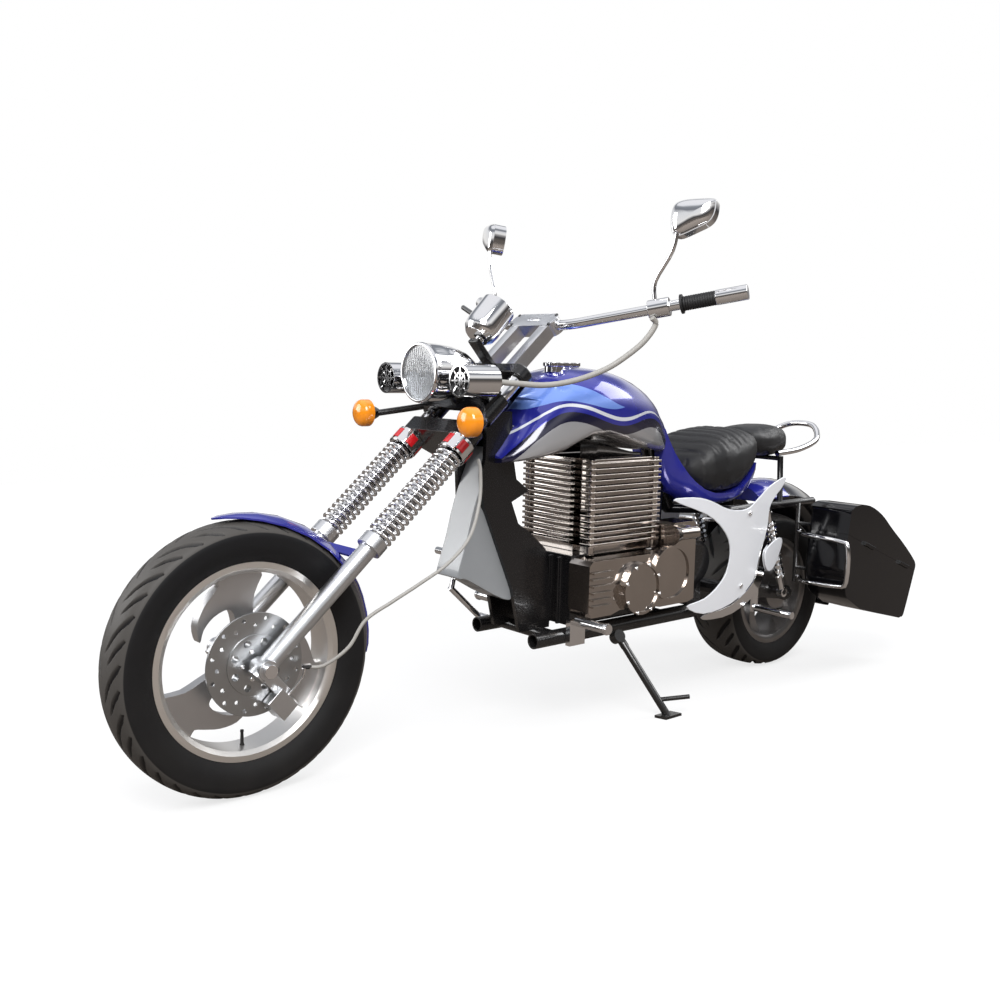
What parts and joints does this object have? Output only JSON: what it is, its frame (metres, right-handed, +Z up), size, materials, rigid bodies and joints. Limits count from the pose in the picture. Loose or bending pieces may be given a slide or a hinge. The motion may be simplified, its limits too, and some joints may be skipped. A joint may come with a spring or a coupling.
{
  "type": "chopper motorcycle",
  "caption": "Chopper motorcycle with raked coil-spring fork, swept bars, finned power unit, saddle and hard side bags, leaning on its side stand.",
  "frame": {"origin": "on the ground under the middle of the bounding box", "axes": "+X forward, +Y to the motorcycle's left, +Z up"},
  "size_m": [2.5114, 1.0012, 1.3756],
  "materials": {
    "black_metal": "satin black",
    "grey_paint": "satin grey",
    "blue_paint": "glossy blue",
    "white_paint": "glossy white",
    "chrome": "polished",
    "cast_aluminium": "cast, polished edges",
    "engine_metal": "bright finned casting",
    "disc_steel": "ground",
    "leather": "ribbed black",
    "rubber": "matte",
    "tyre": "matte",
    "glass": "clear",
    "mirror": "silvered",
    "amber_plastic": "translucent amber",
    "red_plastic": "translucent red",
    "black_plastic": "glossy black",
    "hose": "sleeved"
  },
  "bodies": {
    "chassis": {"frame": "black_metal", "rail_sockets": "black_metal", "chin_panel": "grey_paint", "tank": "blue_paint", "tank_caps": "chrome", "spine_cover": "blue_paint", "seat": "leather", "pillion_pad": "leather", "grab_rail": "chrome", "cylinder_block": "engine_metal", "engine_base": "black_metal", "crankcase": "engine_metal", "motor": "black_metal", "side_panels": "white_paint", "panel_trims": "chrome", "rear_fender": "blue_paint", "tail_lamp": "red_plastic", "swing_arm": "black_metal", "shocks": "chrome", "saddlebag_left": "black_plastic", "saddlebag_right": "black_plastic", "bag_rails": "chrome", "foot_pegs": "chrome", "brake_pedal": "chrome"},
    "left_lid": {"bag_lid_left": "black_plastic"},
    "right_lid": {"bag_lid_right": "black_plastic"},
    "stand": {"side_stand": "black_metal"},
    "rear_wheel": {"rear_tyre": "tyre", "rear_rim": "cast_aluminium"},
    "front_wheel": {"front_tyre": "tyre", "front_rim": "cast_aluminium", "brake_disc": "disc_steel"},
    "steering": {"front_axle": "chrome", "fork_legs": "cast_aluminium", "fork_springs": "chrome", "fork_tubes": "chrome", "lower_clamp": "black_metal", "upper_clamp": "black_metal", "lamp_bracket": "black_metal", "headlamp": "chrome", "headlamp_lens": "glass", "speakers": "chrome", "signal_lenses": "amber_plastic", "gauge": "chrome", "risers": "cast_aluminium", "handlebar": "chrome", "grips": "rubber", "bar_fittings": "chrome", "brake_lever": "black_metal", "mirrors": "chrome", "mirror_glasses": "mirror", "caliper": "cast_aluminium", "brake_hose": "hose", "bar_loom": "hose", "front_fender": "blue_paint"}
  },
  "joints": [
    {"name": "steering", "type": "hinge", "parent": "chassis", "child": "steering", "pos_m": [0.29752, -0.03091, 0.79924], "axis": [-0.749, 0.0647, 0.6595], "range_deg": [-30, 30]},
    {"name": "front_wheel_spin", "type": "hinge", "parent": "steering", "child": "front_wheel", "pos_m": [0.95367, -0.07974, 0.30123], "axis": [0, 0.9952, -0.0976], "continuous": true},
    {"name": "rear_wheel_spin", "type": "hinge", "parent": "chassis", "child": "rear_wheel", "pos_m": [-0.86633, -0.08519, 0.24566], "axis": [0, 0.9952, -0.0976], "continuous": true},
    {"name": "stand_fold", "type": "hinge", "parent": "chassis", "child": "stand", "pos_m": [-0.06633, 0.06463, 0.21606], "axis": [0.1372, 0.9235, 0.3581], "range_deg": [0, 69.5]},
    {"name": "left_lid", "type": "hinge", "parent": "chassis", "child": "left_lid", "pos_m": [-1.05883, 0.25955, 0.34913], "axis": [-0.9339, -0.0349, -0.3558], "range_deg": [0, 80]},
    {"name": "right_lid", "type": "hinge", "parent": "chassis", "child": "right_lid", "pos_m": [-1.05883, -0.40327, 0.41413], "axis": [0.9339, 0.0349, 0.3558], "range_deg": [0, 80]}
  ]
}
